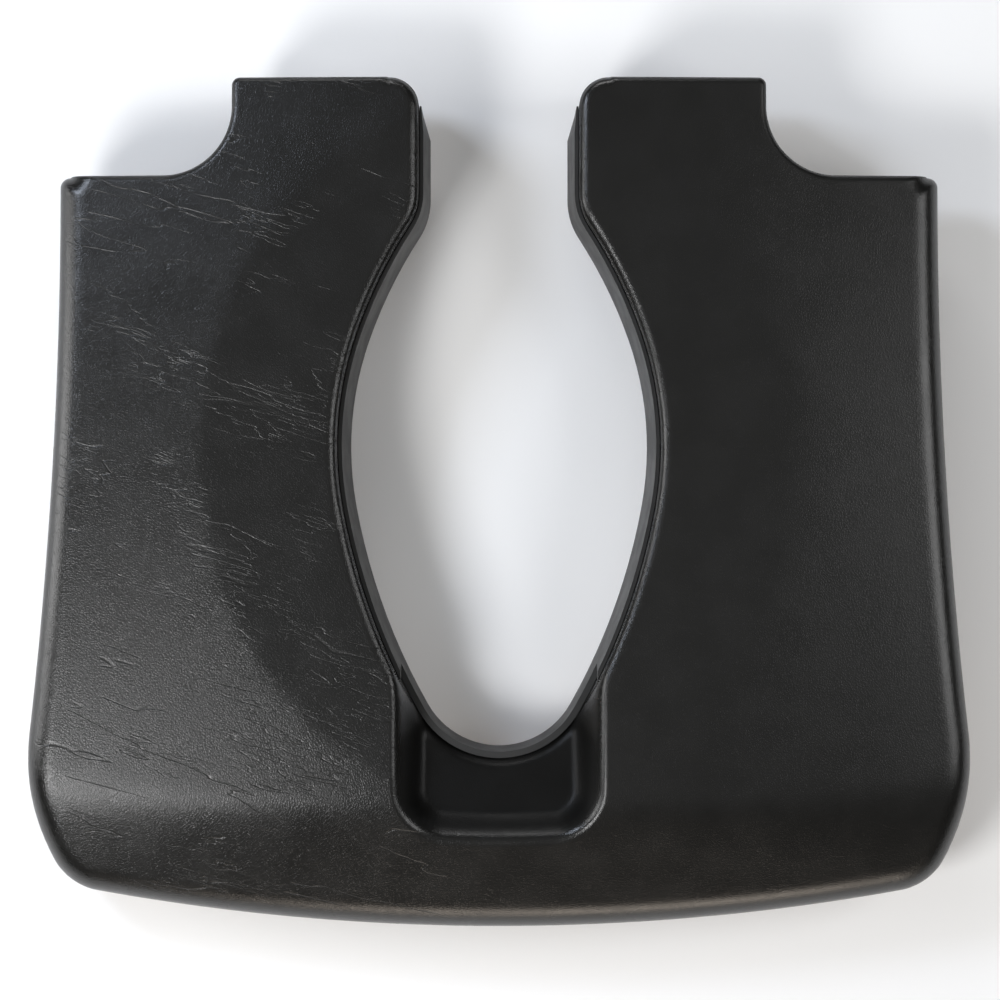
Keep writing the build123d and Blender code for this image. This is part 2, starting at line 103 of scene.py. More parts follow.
# ---------------------------------------------------------------- camera and lights, in metres and watts
CAMERA_X, CAMERA_Y = 0.0005, 0.0018
CAMERA_DISTANCE, VIEW_HEIGHT, VIEW_WIDTH = 1.5, 0.042, 0.5128  # VIEW_WIDTH is seen at VIEW_HEIGHT
SENSOR = 36
FLOOR_SIZE, FLOOR_Z = 12.0, -0.0002  # the floor is just clear of the clips
SKY_LOW, SKY_TOP, SKY_FALL = 0.035, 0.26, 4  # the sky low down, what is added overhead, and how fast it fades
WHITE, COOL, WARM = (1.0, 1.0, 1.0), (0.78, 0.86, 1.0), (1.0, 0.88, 0.76)
LIGHT_TARGET = Vector((0, 0, 0.05))
LIGHTS = [  # name, place, size, watts, colour
    ("key", (-0.71, -0.56, 1.12), (0.45, 0.45), 11.0, WHITE),
    ("side", (-1.30, 0.05, 0.42), (0.5, 0.9), 8.0, WHITE),
    ("fill", (0.98, 0.05, 0.90), (0.7, 0.7), 6.0, WHITE),
    ("window", (-0.85, 0.62, 0.95), (0.35, 0.35), 7.0, COOL),
    ("front", (0.15, -1.35, 0.30), (0.9, 0.35), 5.5, WARM),
    ("rear", (-0.10, 1.20, 0.62), (0.5, 0.25), 3.0, WHITE),
]

# ---------------------------------------------------------------- colours, linear
SKIN_COLOUR = (0.0050, 0.0049, 0.0044)
LINER_COLOUR = (0.014, 0.014, 0.0137)
CLIP_COLOUR = (0.045, 0.046, 0.048)
RUBBER_COLOUR = (0.016, 0.016, 0.016)
ZINC_COLOUR = (0.62, 0.62, 0.60)
STEEL_COLOUR = (0.55, 0.54, 0.52)
NICKEL_COLOUR = (0.66, 0.61, 0.50)
FOAM_COLOUR = (0.62, 0.56, 0.36)
FLOOR_COLOUR = (0.93, 0.93, 0.93)
PLY_PALE, PLY_DARK, PLY_PORE = (0.47, 0.31, 0.17), (0.34, 0.20, 0.10), (0.16, 0.085, 0.04)
PLIES = 7
PLY_THICK = (BOARD_TOP - BOARD_Z) / PLIES


# ---------------------------------------------------------------- outlines
def arc(cx, cy, r, start, turn, step):
    """Points of an arc without its last one."""
    n = max(2, int(math.ceil(abs(math.radians(turn)) * max(r, 0.01) / step)))
    a = np.radians(start + turn * np.arange(n) / n)
    return np.stack([cx + r * np.cos(a), cy + r * np.sin(a)], 1)


def line(x0, y0, x1, y1, step):
    """Points of a line without its last one."""
    n = max(1, int(math.ceil(math.hypot(x1 - x0, y1 - y0) / step)))
    t = (np.arange(n) / n)[:, None]
    return np.array([[x0, y0]]) * (1 - t) + np.array([[x1, y1]]) * t


def run(x, y, heading, turns, shift, step):
    """Tangent arcs moved to their left by shift, and where the unmoved run ends."""
    parts = []
    for radius, turn in turns:
        side = 1 if turn > 0 else -1
        h = math.radians(heading)
        cx, cy = x - side * radius * math.sin(h), y + side * radius * math.cos(h)
        parts.append(arc(cx, cy, radius - side * shift, heading - side * 90, turn, step))
        heading += turn
        h = math.radians(heading)
        x, y = cx + side * radius * math.sin(h), cy - side * radius * math.cos(h)
    return parts, x, y


def half_outline(inset, step):
    """Right half of the pad's outline in three runs: the opening, the rear with its notch, and the side
    with the front. Each leaves out its last point."""
    key, neck_x, neck_y = run(0, NOSE_Y, 0, KEYHOLE_TURNS, -(LINER_GAP + inset), step)
    nx = neck_x + LINER_GAP + inset
    rear = REAR_Y - inset
    kx, ky = NOTCH_X - inset, NOTCH_Y - inset
    sx = SIDE_X - inset
    ri = max(PRONG_INNER_R - inset, LEAST_R)
    ro = max(PRONG_OUTER_R - inset, LEAST_R)
    rr = max(REAR_CORNER_R - inset, LEAST_R)
    px, py = NOTCH_X + NOTCH_R, NOTCH_Y + NOTCH_R
    opening = key + [
        line(nx, neck_y, nx, rear - ri, step),
        arc(nx + ri, rear - ri, ri, 180, -90, step),
    ]
    back = [
        line(nx + ri, rear, kx - ro, rear, step),
        arc(kx - ro, rear - ro, ro, 90, -90, min(step, CORNER_STEP)),
        line(kx, rear - ro, kx, py, step),
        arc(px, py, NOTCH_R + inset, 180, 90, step),
        line(px, ky, sx - rr, ky, step),
    ]
    end_x = run(SIDE_X, SIDE_Y, 270, OUTER_TURNS, 0, 50)[1]
    left = 90 + sum(t for _, t in OUTER_TURNS)
    last = (end_x / math.sin(math.radians(left)), -left)
    outer = [
        arc(sx - rr, ky - rr, rr, 90, -90, min(step, CORNER_STEP)),
        line(sx, ky - rr, sx, SIDE_Y, step),
    ] + run(SIDE_X, SIDE_Y, 270, [*OUTER_TURNS, last], -inset, step)[0]
    return [np.concatenate(p) for p in (opening, back, outer)]


def outline(inset, step):
    """The whole outline as one closed loop, from the nose round the right side."""
    right = np.concatenate(half_outline(inset, step))
    front = np.array([[0.0, FRONT_Y + inset]])
    left = right[:0:-1] * np.array([[-1, 1]])
    return np.concatenate([right, front, left])


class Edge:
    """Distance to a polyline that is mirrored in X."""

    def __init__(self, points):
        self.a = points[:-1]
        self.b = points[1:]

    def distance(self, p):
        q = p.copy()
        q[:, 0] = np.abs(q[:, 0])
        best = np.full(len(q), 1e9)
        ab = self.b - self.a
        ll = (ab**2).sum(1)
        for i in range(0, len(q), CHUNK):
            c = q[i : i + CHUNK, None, :] - self.a[None]
            u = np.clip((c * ab[None]).sum(2) / ll[None], 0, 1)
            d = np.hypot(c[..., 0] - u * ab[None, :, 0], c[..., 1] - u * ab[None, :, 1])
            best[i : i + CHUNK] = d.min(1)
        return best


OPENING, BACK, OUTER = half_outline(0, SKIN_STEP)
EDGE_KEY = Edge(np.concatenate([OPENING, BACK[:1]]))
EDGE_BACK = Edge(np.concatenate([BACK, OUTER[:1]]))
EDGE_OUT = Edge(np.concatenate([OUTER, [[0.0, FRONT_Y]], [[-3.0, FRONT_Y]]]))


# ---------------------------------------------------------------- height of the pad's top
def softplus(v, s):
    """v where it is well above 0 and 0 where it is well below, with a round of about s between."""
    t = v / s
    return s * (np.maximum(t, 0) + np.log1p(np.exp(-np.abs(t))))


def roll(d, r):
    """How far a rounded edge of radius r has dropped, d in from its wall."""
    c = np.clip(r - d, 0, r)
    return r - np.sqrt(np.maximum(r * r - c * c, 0))


def smoothstep(a, b, v):
    """0 below a and 1 above b, with a smooth climb between."""
    t = np.clip((v - a) / (b - a), 0, 1)
    return t * t * (3 - 2 * t)


def scoop_inside(p):
    """How far a point is inside the scoop's rim, negative outside. The rim is open towards the opening."""
    ax = np.abs(p[:, 0])
    y = p[:, 1]
    front = SCOOP_FRONT + SCOOP_BOW * (ax / SCOOP_HALF) ** 2
    qx = ax - (SCOOP_HALF - SCOOP_CORNER)
    qy = (front + SCOOP_CORNER) - y
    outside = np.hypot(np.maximum(qx, 0), np.maximum(qy, 0)) + np.minimum(np.maximum(qx, qy), 0)
    return np.where(y < SCOOP_REAR, SCOOP_CORNER - outside, FAR_OUT)


def dish_reach(p):
    """Distance outside the dish's crease, negative inside."""
    e = np.sqrt((p[:, 0] / DISH_A) ** 2 + ((p[:, 1] - DISH_Y) / DISH_B) ** 2)
    return (e - 1) * DISH_MEAN


def top_height(p):
    """Height of the pad's top before its edges are rounded, without the scoop."""
    x, y = p[:, 0], p[:, 1]
    t = dish_reach(p)
    round_out = CREASE_LEFT + (CREASE_RIGHT - CREASE_LEFT) * smoothstep(CREASE_FROM, CREASE_TO, x)
    crown = CROWN_OUT * softplus(t, round_out)
    well = CROWN_IN * softplus(-t, round_out)
    front = FRONT_Y + FRONT_ARC_R - np.sqrt(FRONT_ARC_R**2 - x**2)
    fall = FALL_SLOPE * softplus(FALL_WIDTH - (y - front), FALL_ROUND)
    return TOP - (crown**3 + fall**3) ** (1 / 3) - well


def scoop_wall(inside):
    """Share of the scoop's depth reached at a distance inside its rim: a roll, a steep wall and a cove."""
    u = np.clip((inside + SCOOP_ROLL) / (SCOOP_WALL + SCOOP_ROLL + SCOOP_COVE), 0, 1)
    rim, cove = SCOOP_RIM_END, SCOOP_COVE_START
    steep = 2 / (1 + cove - rim)
    low = 0.5 * steep * u**2 / rim
    middle = steep * (u - 0.5 * rim)
    high = 1 - 0.5 * steep * (1 - u) ** 2 / (1 - cove)
    return np.where(u < rim, low, np.where(u < cove, middle, high))


def height(p):
    """Height of the pad's top at each point, with the scoop and all edges rounded."""
    z = top_height(p)
    inside = scoop_inside(p)
    fall = (SCOOP_NOSE_DEPTH - SCOOP_DEPTH) / (NOSE_Y - SCOOP_FRONT)
    floor = TOP - SCOOP_NOSE_DEPTH + fall * softplus(NOSE_Y - p[:, 1], SCOOP_TURN)
    z = z - np.maximum(z - floor, SCOOP_LEAST) * scoop_wall(inside)
    outer = roll(EDGE_OUT.distance(p), SIDE_ROLL)
    rim = roll(EDGE_KEY.distance(p), RIM_ROLL)
    rear = roll(EDGE_BACK.distance(p), REAR_ROLL)
    return z - (outer**3 + rim**3 + rear**3) ** (1 / 3)


# ---------------------------------------------------------------- meshes
def thinned(groups):
    """Points that keep their distance from those before them. A group is its points, its least distance
    and whether it is kept whole."""
    kept = []
    cells = {}
    for points, least, whole in groups:
        for x, y in points:
            ci, cj = int(x // CELL), int(y // CELL)
            around = [(i, j) for i in (ci - 1, ci, ci + 1) for j in (cj - 1, cj, cj + 1)]
            near = (q for key in around for q in cells.get(key, ()))
            if whole or all((qx - x) ** 2 + (qy - y) ** 2 >= least * least for qx, qy in near):
                cells.setdefault((ci, cj), []).append((x, y))
                kept.append((x, y))
    return np.array(kept)


def triangulated(loop, inner, hole=None):
    """Points and triangles of the area inside loop and outside hole, and where each given point went."""
    parts = [loop]
    edges = [(i, (i + 1) % len(loop)) for i in range(len(loop))]
    if hole is not None:
        k = len(loop)
        parts.append(hole)
        edges += [(k + i, k + (i + 1) % len(hole)) for i in range(len(hole))]
    points = np.concatenate([*parts, inner])
    out = geometry.delaunay_2d_cdt([Vector(p) for p in points.tolist()], edges, [], 0, 1e-4, True)
    coords = np.array([tuple(v) for v in out[0]])
    faces = np.array(out[2])
    order = {k: i for i, given in enumerate(out[3]) for k in given}
    middle = coords[faces].mean(1)
    keep = inside_loop(middle, loop)
    if hole is not None:
        keep &= ~inside_loop(middle, hole)
    return coords, [tuple(f) for f in faces[keep].tolist()], order


def hexes(spacing):
    """A triangular grid over the whole seat."""
    rows = []
    dy = spacing * math.sqrt(3) / 2
    for j in range(int(2 * GRID_Y / dy)):
        y = -GRID_Y + j * dy
        xs = np.arange(-GRID_X, GRID_X, spacing) + (spacing / 2 if j % 2 else 0)
        rows.append(np.stack([xs, np.full(len(xs), y)], 1))
    return np.concatenate(rows)


def all_distance(p):
    """Distance to the nearest edge of the pad."""
    return np.minimum(np.minimum(EDGE_KEY.distance(p), EDGE_BACK.distance(p)), EDGE_OUT.distance(p))


def inside_loop(p, loop):
    """Which points are inside a closed loop."""
    x, y = p[:, 0], p[:, 1]
    inside = np.zeros(len(p), bool)
    for (x0, y0), (x1, y1) in zip(loop, np.roll(loop, -1, 0)):
        if y0 != y1:
            crossed = (y0 > y) != (y1 > y)
            inside ^= crossed & (x < x0 + (y - y0) * (x1 - x0) / (y1 - y0))
    return inside


def new_object(name, shell):
    """A smooth-shaded object made of a shell."""
    me = bpy.data.meshes.new(name)
    me.from_pydata(shell.verts, [], shell.faces)
    me.validate()
    me.update()
    me.polygons.foreach_set("use_smooth", [True] * len(me.polygons))
    ob = bpy.data.objects.new(name, me)
    bpy.context.scene.collection.objects.link(ob)
    return ob


def edge_rings():
    """Groups of points that follow the pad's edge at growing insets, so that its roll is smooth."""
    rings = []
    for inset in EDGE_RINGS:
        step = 1.4 if inset < 6 else 1.9
        least = 0.16 if inset < 0.5 else 0.45 if inset < 3 else 0.9
        rings.append((outline(inset, step), least, False))
    return rings


def scoop_rings():
    """Points that follow the scoop's rim, wall and foot."""
    rings = []
    cx, cy = SCOOP_HALF - SCOOP_CORNER, SCOOP_FRONT + SCOOP_CORNER
    for d in SCOOP_RINGS:
        corner = arc(cx, cy, SCOOP_CORNER - d, 0, -90, 1.0)
        side = line(SCOOP_HALF - d, cy, SCOOP_HALF - d, SCOOP_REAR - 10, 1.2)
        front = line(0, SCOOP_FRONT + d, cx, SCOOP_FRONT + d, 1.2)
        half = np.concatenate([corner, side, front])
        rings.append(np.concatenate([half, half * [[-1, 1]]]))
    return np.concatenate(rings)


def crease_rings():
    """Points that follow the dish's crease on both sides of it."""
    a = 2 * math.pi * np.arange(CREASE_POINTS) / CREASE_POINTS
    rings = []
    for t in CREASE_RINGS:
        k = 1 + t / DISH_MEAN
        rings.append(np.stack([DISH_A * k * np.cos(a), DISH_Y + DISH_B * k * np.sin(a)], 1))
    return np.concatenate(rings)


def skin_surface():
    """The fine outer surface of the pad's top: points with heights, triangles and the edge loop."""
    loop = outline(0, SKIN_STEP)

    def well_in(p, least):
        """The points of p that are inside the pad and at least so far from its edge."""
        q = p[inside_loop(p, loop)]
        return q[all_distance(q) > least]

    grid = hexes(GRID_STEP)
    groups = [
        (loop, 0, True),
        *edge_rings(),
        (well_in(scoop_rings(), SCOOP_CLEAR), SCOOP_SPACE, False),
        (well_in(crease_rings(), CREASE_CLEAR), CREASE_SPACE, False),
        (grid[inside_loop(grid, outline(SIDE_ROLL, 2.0))], GRID_SPACE, False),
    ]
    inner = thinned(groups)[len(loop) :]
    inner = inner[inside_loop(inner, loop)]
    coords, faces, order = triangulated(loop, inner)
    return coords, height(coords), faces, [order[i] for i in range(len(loop))]


def band(faces, a, b):
    """Quads between two index loops of the same length."""
    for i in range(len(a)):
        j = (i + 1) % len(a)
        faces.append((a[i], a[j], b[j], b[i]))


class Shell:
    """Vertices and faces of one mesh, gathered ring by ring. Lengths in mm."""

    def __init__(self):
        self.verts = []
        self.faces = []

    def add(self, xy, z):
        """New vertices; gives their numbers."""
        start = len(self.verts)
        z = np.broadcast_to(z, (len(xy),))
        self.verts.extend((x * MM, y * MM, h * MM) for (x, y), h in zip(xy, z))
        return list(range(start, start + len(xy)))

    def sheet(self, xy, z, triangles, flip):
        """Triangles over new vertices; gives the vertices' numbers."""
        ids = self.add(xy, z)
        for a, b, c in triangles:
            self.faces.append((ids[c], ids[b], ids[a]) if flip else (ids[a], ids[b], ids[c]))
        return ids

    def stack(self, rings):
        """Walls between rings of the same length, from the lowest ring up."""
        for low, high in zip(rings, rings[1:]):
            band(self.faces, low, high)


def ring_normals(loop):
    """Unit normals that point into the pad, whichever way round the loop runs."""
    ahead = np.roll(loop, -1, 0) - np.roll(loop, 1, 0)
    normal = np.stack([ahead[:, 1], -ahead[:, 0]], 1)
    normal /= np.hypot(*normal.T)[:, None]
    turned = np.roll(loop, -1, 0)
    area = 0.5 * np.sum(loop[:, 0] * turned[:, 1] - turned[:, 0] * loop[:, 1])
    return -normal if area > 0 else normal


def coarse_top(inset, step, drop):
    """A coarse sheet inside the pad: its points, heights, triangles and edge numbers."""
    loop = outline(inset, step)
    grid = hexes(step * 1.6)
    grid = grid[inside_loop(grid, outline(inset + step * 0.8, step))]
    rings = np.concatenate([outline(inset + d, step) for d in (2.0, 5.0)])
    pts = thinned([(loop, 0, True), (rings, 1.4, False), (grid, step * 0.9, False)])
    inner = pts[len(loop) :]
    inner = inner[inside_loop(inner, loop)]
    coords, triangles, order = triangulated(loop, inner)
    return coords, height(coords) - drop, triangles, [order[i] for i in range(len(loop))]


def build_skin():
    """The skin as one closed shell: grained top and sides, rounded foot, hem and smooth inside."""
    shell = Shell()
    coords, z, triangles, ring = skin_surface()
    ids = shell.sheet(coords, z, triangles, flip=False)
    top = [ids[i] for i in ring]
    edge_z = z[ring]
    loop = outline(0, SKIN_STEP)
    inward = ring_normals(loop)
    low = HEM_Z + FOOT_ROUND
    foot = []
    for angle in FOOT_ANGLES:
        s, c = math.sin(math.radians(angle)), math.cos(math.radians(angle))
        foot.append(shell.add(loop + inward * FOOT_ROUND * (1 - c), low - FOOT_ROUND * s))
    wall = [shell.add(loop, low + (edge_z - low) * k) for k in WALL_SHARES]
    shell.stack([*foot, *wall, top])

    hem_loop = outline(HEM_WIDTH, HEM_STEP)
    flat, triangles, order = triangulated(loop + inward * FOOT_ROUND, np.empty((0, 2)), hem_loop)
    ids = shell.sheet(flat, HEM_Z, triangles, flip=True)
    hem_low = [ids[order[len(loop) + i]] for i in range(len(hem_loop))]
    weld = {ids[order[i]]: foot[0][i] for i in range(len(loop))}
    shell.faces = [tuple(weld.get(i, i) for i in f) for f in shell.faces]

    side_loop = outline(SKIN_SIDE, HEM_STEP)
    flat, triangles, order = triangulated(side_loop, np.empty((0, 2)), hem_loop)
    ids = shell.sheet(flat, BOARD_Z - GAP, triangles, flip=False)
    hem_high = [ids[order[len(side_loop) + i]] for i in range(len(hem_loop))]
    side_low = [ids[order[i]] for i in range(len(side_loop))]
    shell.stack([hem_low, hem_high])
    inner, inner_z, triangles, inner_ring = coarse_top(SKIN_SIDE, HEM_STEP, SKIN_THICK)
    ids = shell.sheet(inner, inner_z, triangles, flip=True)
    side_high = [ids[i] for i in inner_ring]
    shell.stack([side_high, side_low])
    return shell


def build_foam():
    """The foam inside the skin, as a closed block with a flat bottom on the board."""
    shell = Shell()
    xy, z, triangles, ring = coarse_top(SKIN_SIDE + GAP, HEM_STEP, SKIN_THICK + GAP)
    ids = shell.sheet(xy, z, triangles, flip=False)
    bottom = shell.sheet(xy, BOARD_TOP + GAP, triangles, flip=True)
    shell.stack([[bottom[i] for i in ring], [ids[i] for i in ring]])
    return shell


skin_shell = build_skin()
skin = new_object("pad_skin", skin_shell)
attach(skin, "root")
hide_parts("seat_skin")
foam = new_object("pad_foam", build_foam())
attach(foam, "root")
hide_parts("foam_core")


# ---------------------------------------------------------------- materials
class Graph:
    """A material whose nodes are added by short calls. Coordinates are the object's own, in metres."""

    def __init__(self, name, colour, roughness, metallic=0.0):
        self.material = bpy.data.materials.new(name)
        self.material.use_nodes = True
        self.tree = self.material.node_tree
        self.shader = self.tree.nodes["Principled BSDF"]
        self.shader.inputs["Base Color"].default_value = (*colour, 1)
        self.shader.inputs["Roughness"].default_value = roughness
        self.shader.inputs["Metallic"].default_value = metallic
        self.place = self.tree.nodes.new("ShaderNodeTexCoord").outputs["Object"]

    def node(self, kind, links=None, **settings):
        """A node with its settings; links maps its input names to sockets or values."""
        made = self.tree.nodes.new(kind)
        for key, value in settings.items():
            setattr(made, key, value)
        for key, value in (links or {}).items():
            socket = made.inputs[key]
            if isinstance(value, bpy.types.NodeSocket):
                self.tree.links.new(value, socket)
            else:
                socket.default_value = value
        return made

    def moved(self, turn, stretch):
        """Coordinates turned about Z, in degrees, and then stretched along X, Y and Z."""
        turned = self.node("ShaderNodeVectorRotate", {"Vector": self.place, "Angle": math.radians(turn)})
        return self.node(
            "ShaderNodeVectorMath", {0: turned.outputs[0], 1: stretch}, operation="MULTIPLY"
        ).outputs[0]

    def noise(self, scale, detail=2.0, vector=None, rough=0.5):
        """A value from a noise, mostly between 0.3 and 0.7."""
        made = self.node(
            "ShaderNodeTexNoise",
            {"Vector": vector or self.place, "Scale": scale, "Detail": detail, "Roughness": rough},
        )
        return made.outputs["Fac"]

    def bent(self, vector, scale, amount):
        """Coordinates pushed about by a noise."""
        made = self.node("ShaderNodeTexNoise", {"Vector": self.place, "Scale": scale, "Detail": 2.0})
        push = self.node(
            "ShaderNodeVectorMath", {0: made.outputs["Color"], 1: (0.5, 0.5, 0.5)}, operation="SUBTRACT"
        ).outputs[0]
        push = self.node(
            "ShaderNodeVectorMath", {0: push, "Scale": amount}, operation="SCALE"
        ).outputs[0]
        return self.node("ShaderNodeVectorMath", {0: vector, 1: push}, operation="ADD").outputs[0]

    def cells(self, scale, vector=None, feature="DISTANCE_TO_EDGE"):
        """The distance of a cell pattern, by default to the nearest edge between two cells."""
        made = self.node(
            "ShaderNodeTexVoronoi", {"Vector": vector or self.place, "Scale": scale}, feature=feature
        )
        return made.outputs["Distance"]

    def span(self, value, low, high, to_low=0.0, to_high=1.0):
        """A value mapped from one range to another and held inside it, with soft ends."""
        return self.node(
            "ShaderNodeMapRange",
            {"Value": value, "From Min": low, "From Max": high, "To Min": to_low, "To Max": to_high},
            interpolation_type="SMOOTHSTEP",
        ).outputs[0]

    def maths(self, operation, a, b=0.0):
        """A sum of two values or sockets."""
        return self.node("ShaderNodeMath", {0: a, 1: b}, operation=operation).outputs[0]

    def mixed(self, amount, a, b):
        """A colour between two colours."""
        made = self.node("ShaderNodeMix", data_type="RGBA")
        for index, value in ((0, amount), (6, a), (7, b)):
            if isinstance(value, bpy.types.NodeSocket):
                self.tree.links.new(value, made.inputs[index])
            else:
                made.inputs[index].default_value = (*value, 1) if index else value
        return made.outputs[2]

    def bump(self, height, depth, before=None):
        """A bump of a height from 0 to 1, depth in mm at 1, laid over an earlier one."""
        links = {"Height": height, "Distance": depth * MM, "Strength": 1.0}
        if before is not None:
            links["Normal"] = before
        return self.node("ShaderNodeBump", links).outputs[0]

    def attribute(self, name):
        """A value stored on the mesh's vertices."""
        return self.node("ShaderNodeAttribute", attribute_name=name).outputs["Fac"]

    def part(self, vector, index):
        """One of the three parts of a vector."""
        return self.node("ShaderNodeSeparateXYZ", {0: vector}).outputs[index]

    def upright(self):
        """How far the surface faces up or down: 1 up, 0 sideways, -1 down."""
        return self.part(self.node("ShaderNodeNewGeometry").outputs["Normal"], 2)

    def lines(self, vector, width):
        """Thin winding lines, 1 in their middle, where a noise passes its mean."""
        off = self.maths("SUBTRACT", self.noise(1.0, 2.5, vector, 0.55), 0.5)
        return self.span(self.maths("ABSOLUTE", off), 0.0, width, 1.0, 0.0)

    def finish(self, colour=None, roughness=None, normal=None):
        """The material, with the sockets that are given linked to its shader."""
        for key, value in (("Base Color", colour), ("Roughness", roughness), ("Normal", normal)):
            if value is not None:
                self.tree.links.new(value, self.shader.inputs[key])
        return self.material


def skin_material():
    """Black grained vinyl: a fine pebble, creases in the more used half, edges rubbed smoother, and a
    duller scoop, its colour darkened as painted shade."""
    g = Graph("grained_vinyl", SKIN_COLOUR, 0.30)
    g.shader.inputs["Specular IOR Level"].default_value = 0.5
    used = g.span(g.part(g.place, 0), 0.02, -0.06, 0.12, 1.0)
    pebble = g.cells(820, g.bent(g.place, 300, 0.0012))
    pebble = g.span(pebble, 0.0, 0.28)
    fine = g.noise(2600, 3.0)
    patches = g.noise(16, 2.0)
    slow = g.noise(45, 3.0)

    # creases: noises whose coordinates are stretched across the lines, in patches
    long_place = g.bent(g.moved(15, (9, 62, 40)), 14, 0.55)
    long_line = g.maths("MULTIPLY", g.lines(long_place, 0.011), g.span(g.noise(24, 2.0), 0.48, 0.56))
    short_place = g.bent(g.moved(19, (30, 170, 100)), 40, 0.5)
    short_line = g.maths("MULTIPLY", g.lines(short_place, 0.022), g.span(g.noise(17, 2.0), 0.52, 0.6))
    creases = g.maths("MAXIMUM", long_line, g.maths("MULTIPLY", short_line, 0.7))
    creases = g.maths("MULTIPLY", creases, used)
    creases = g.maths("MULTIPLY", creases, g.span(g.upright(), 0.6, 0.9))

    # colour, gloss and relief
    rubbed = g.attribute("rubbed")
    shade = g.mixed(patches, [c * 0.86 for c in SKIN_COLOUR], [c * 1.16 for c in SKIN_COLOUR])
    shade = g.mixed(g.maths("MULTIPLY", creases, 0.5), shade, [c * 2.2 for c in SKIN_COLOUR])
    shade = g.mixed(g.maths("MULTIPLY", rubbed, 0.35), shade, [c * 1.5 for c in SKIN_COLOUR])
    rough = g.span(slow, 0.3, 0.7, 0.28, 0.33)
    rough = g.maths("SUBTRACT", rough, g.maths("MULTIPLY", rubbed, 0.05))
    sunk = g.attribute("sunk")
    rough = g.maths("ADD", rough, g.maths("MULTIPLY", sunk, 0.1))
    g.tree.links.new(g.span(sunk, 0.0, 1.0, 0.5, 0.2), g.shader.inputs["Specular IOR Level"])
    # painted shade: the scoop's colour is darkened the deeper a point is sunk into it
    shade = g.mixed(g.maths("MULTIPLY", sunk, 0.7), shade, [c * 0.4 for c in SKIN_COLOUR])
    depth = g.span(used, 0.1, 1.0, 0.75, 1.0)
    normal = g.bump(g.maths("MULTIPLY", pebble, depth), 0.042)
    normal = g.bump(fine, 0.014, normal)
    normal = g.bump(g.maths("MULTIPLY", creases, -1.0), 0.12, normal)
    return g.finish(shade, rough, normal)


def moulded_material(name, colour, roughness, grain=0.02, scale=1400):
    """Moulded plastic or rubber: a faint spark-eroded texture, with rubbed and dusty patches."""
    g = Graph(name, colour, roughness)
    patches = g.noise(38, 3.0)
    shade = g.mixed(patches, [c * 0.85 for c in colour], [c * 1.2 for c in colour])
    rough = g.span(g.noise(70, 3.0), 0.3, 0.7, roughness - 0.05, roughness + 0.06)
    normal = g.bump(g.noise(scale, 3.0), grain)
    return g.finish(shade, rough, normal)


def metal_material(name, colour, roughness):
    """Plated metal: fine marks across the height, with duller patches."""
    g = Graph(name, colour, roughness, 1.0)
    patches = g.noise(260, 3.0)
    shade = g.mixed(patches, [c * 0.8 for c in colour], colour)
    rough = g.span(g.noise(900, 3.0), 0.3, 0.7, roughness - 0.08, roughness + 0.12)
    marks = g.noise(500, 2.0, g.moved(0, (1, 1, 9)))
    return g.finish(shade, rough, g.bump(marks, 0.012))


def plywood_material():
    """Plywood: long grain on its faces, and dark and pale plies along its edges."""
    g = Graph("plywood", PLY_PALE, 0.62)
    grain = g.noise(1.0, 4.0, g.bent(g.moved(0, (14, 260, 40)), 18, 1.6), 0.6)
    pores = g.noise(1.0, 2.0, g.moved(0, (90, 1900, 300)))
    face = g.mixed(g.span(grain, 0.35, 0.68), PLY_PALE, PLY_DARK)
    face = g.mixed(g.span(pores, 0.6, 0.72, 0.0, 0.5), face, PLY_PORE)
    layer = g.maths("SUBTRACT", g.part(g.place, 2), BOARD_Z * MM)
    layer = g.maths("PINGPONG", layer, PLY_THICK * MM)
    edge = g.mixed(g.span(layer, 0.4 * PLY_THICK * MM, 0.6 * PLY_THICK * MM), PLY_PALE, PLY_PORE)
    flat = g.span(g.maths("ABSOLUTE", g.upright()), 0.4, 0.7)
    shade = g.mixed(flat, edge, face)
    rough = g.span(grain, 0.3, 0.7, 0.55, 0.72)
    return g.finish(shade, rough, g.bump(pores, 0.05, g.bump(grain, 0.06)))


def foam_material():
    """Open-cell polyurethane foam."""
    g = Graph("seat_foam", FOAM_COLOUR, 0.9)
    pores = g.cells(1100, feature="F1")
    shade = g.mixed(g.span(pores, 0.2, 0.6), FOAM_COLOUR, [c * 0.6 for c in FOAM_COLOUR])
    return g.finish(shade, None, g.bump(pores, 0.15))


def floor_material():
    """A plain pale backdrop with a faint paper tooth."""
    g = Graph("pale_backdrop", FLOOR_COLOUR, 0.85)
    g.shader.inputs["Specular IOR Level"].default_value = 0.1
    return g.finish(None, None, g.bump(g.noise(350, 2.0), 0.02))


def store(ob, name, values):
    """A value on each vertex, for the materials."""
    layer = ob.data.attributes.new(name, "FLOAT", "POINT")
    layer.data.foreach_set("value", values.astype(np.float32))


def crest(distance, middle, spread):
    """1 where the distance from an edge is at the middle of its rubbed band, fading out over the spread."""
    return np.exp(-(((distance - middle) / spread) ** 2))


def wear_and_scoop_shade(ob, points):
    """Stores how much each vertex is rubbed smooth, most along the crests of the rolled edges, and how far
    it is sunk into the scoop, which darkens the scoop's colour as painted shade."""
    scoop = scoop_inside(points)
    crests = [
        crest(EDGE_OUT.distance(points), OUTER_CREST, OUTER_SPREAD),
        crest(EDGE_KEY.distance(points), RIM_CREST, RIM_CREST),
        crest(scoop, 0, SCOOP_SPREAD),
    ]
    store(ob, "rubbed", np.max(crests, axis=0))
    # how far each vertex is sunk: the mask of the scoop's painted shade and of its duller gloss
    store(ob, "sunk", smoothstep(0, SCOOP_WALL, scoop))


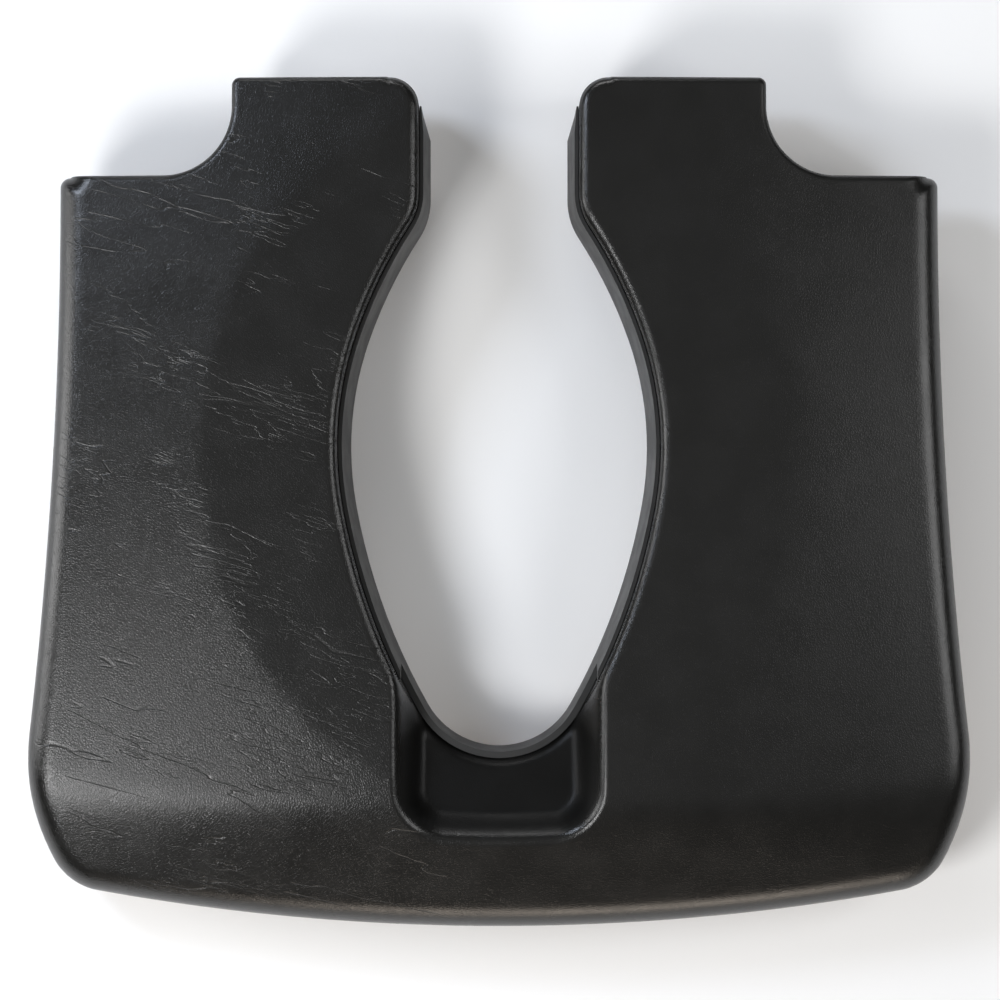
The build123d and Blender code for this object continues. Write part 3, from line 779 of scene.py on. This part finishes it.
wear_and_scoop_shade(skin, np.array([(x / MM, y / MM) for x, y, _ in skin_shell.verts]))
skin.data.materials.append(skin_material())
foam.data.materials.append(foam_material())
clip_material = moulded_material("clip_nylon", CLIP_COLOUR, 0.5, 0.03, 900)
screw_material = metal_material("zinc_plate", ZINC_COLOUR, 0.33)
washer_material = metal_material("washer_steel", STEEL_COLOUR, 0.38)
finishes = {
    "base_board": plywood_material(),
    "aperture_liner": moulded_material("liner_plastic", LINER_COLOUR, 0.5, 0.012),
    "clip_screws": screw_material,
    "clip_washers": washer_material,
    "tee_nuts": screw_material,
    "liner_screws": screw_material,
    "buffer_screws": screw_material,
    "hem_staples": metal_material("staple_wire", STEEL_COLOUR, 0.3),
    "rubber_buffers": moulded_material("buffer_rubber", RUBBER_COLOUR, 0.75, 0.03, 1100),
    "vent_eyelets": metal_material("eyelet_nickel", NICKEL_COLOUR, 0.25),
}
for name, ob in nodes.items():
    finish = finishes.get(name, clip_material)
    for place in ob.material_slots:
        place.material = finish

# ---------------------------------------------------------------- floor, light and camera
bpy.ops.mesh.primitive_plane_add(size=FLOOR_SIZE, location=(0, 0, FLOOR_Z))
floor = bpy.context.object
floor.name = "floor"
floor.data.materials.append(floor_material())

world = bpy.data.worlds.new("studio")
bpy.context.scene.world = world
world.use_nodes = True
sky = world.node_tree
towards = sky.nodes.new("ShaderNodeTexCoord").outputs["Generated"]
parts = sky.nodes.new("ShaderNodeSeparateXYZ")
sky.links.new(towards, parts.inputs[0])


def sky_step(operation, value, amount):
    """The value changed by one sum."""
    step = sky.nodes.new("ShaderNodeMath")
    step.operation = operation
    sky.links.new(value, step.inputs[0])
    step.inputs[1].default_value = amount
    return step.outputs[0]


overhead = sky_step("POWER", sky_step("MAXIMUM", parts.outputs[2], 0.0), SKY_FALL)
strength = sky_step("ADD", sky_step("MULTIPLY", overhead, SKY_TOP), SKY_LOW)
sky.nodes["Background"].inputs["Color"].default_value = (1, 1, 1, 1)
sky.links.new(strength, sky.nodes["Background"].inputs["Strength"])


def area_light(name, place, size, watts, colour):
    """A rectangular light that looks at the seat."""
    data = bpy.data.lights.new(name, "AREA")
    data.shape = "RECTANGLE"
    data.size, data.size_y = size
    data.energy = watts
    data.color = colour
    ob = bpy.data.objects.new(name, data)
    bpy.context.scene.collection.objects.link(ob)
    ob.location = place
    ob.rotation_euler = (LIGHT_TARGET - Vector(place)).to_track_quat("-Z", "Y").to_euler()


for light in LIGHTS:
    area_light(*light)

camera_data = bpy.data.cameras.new("camera")
camera_data.sensor_width = SENSOR
camera_data.lens = SENSOR * CAMERA_DISTANCE / VIEW_WIDTH
camera = bpy.data.objects.new("camera", camera_data)
bpy.context.scene.collection.objects.link(camera)
camera.location = (CAMERA_X, CAMERA_Y, VIEW_HEIGHT + CAMERA_DISTANCE)
bpy.context.scene.camera = camera
bpy.context.scene.view_settings.view_transform = "Standard"
